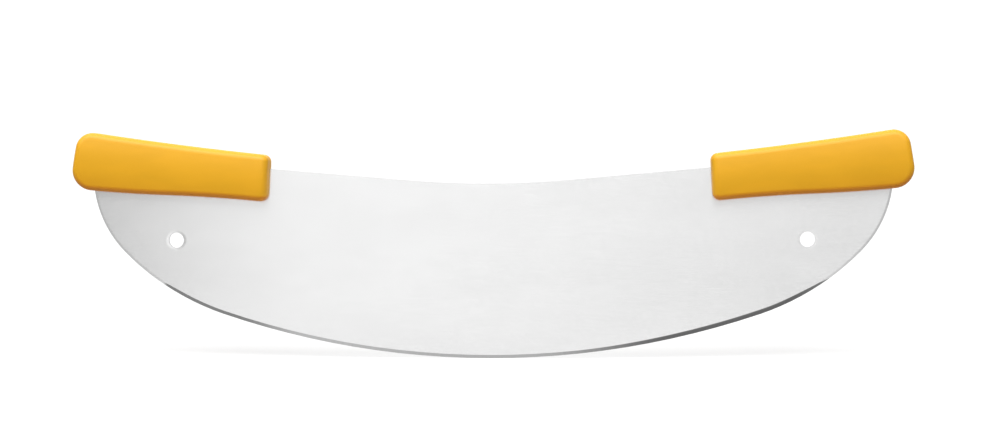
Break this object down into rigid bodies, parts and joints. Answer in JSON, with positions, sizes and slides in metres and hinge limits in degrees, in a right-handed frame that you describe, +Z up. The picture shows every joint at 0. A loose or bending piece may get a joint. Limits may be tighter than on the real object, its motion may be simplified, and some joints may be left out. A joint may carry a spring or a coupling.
{
  "type": "rocking pizza knife",
  "caption": "Rocking pizza knife: a wide steel blade with a long curved cutting edge, hanging holes and a moulded plastic grip over the tang at each end.",
  "frame": {"origin": "lowest point of the cutting edge, in the middle of the blade's length and thickness", "axes": "+X along the blade to the right-hand handle, +Y through the blade away from its shown face, +Z up from the cutting edge to the spine"},
  "size_m": [0.5508, 0.021, 0.1492],
  "materials": {
    "steel": "fine satin brushing along the blade, ground cutting edge",
    "grip_plastic": "satin moulded polypropylene, yellow-orange"
  },
  "bodies": {
    "root": {"blade": "steel", "left_handle": "grip_plastic", "right_handle": "grip_plastic"}
  },
  "joints": []
}
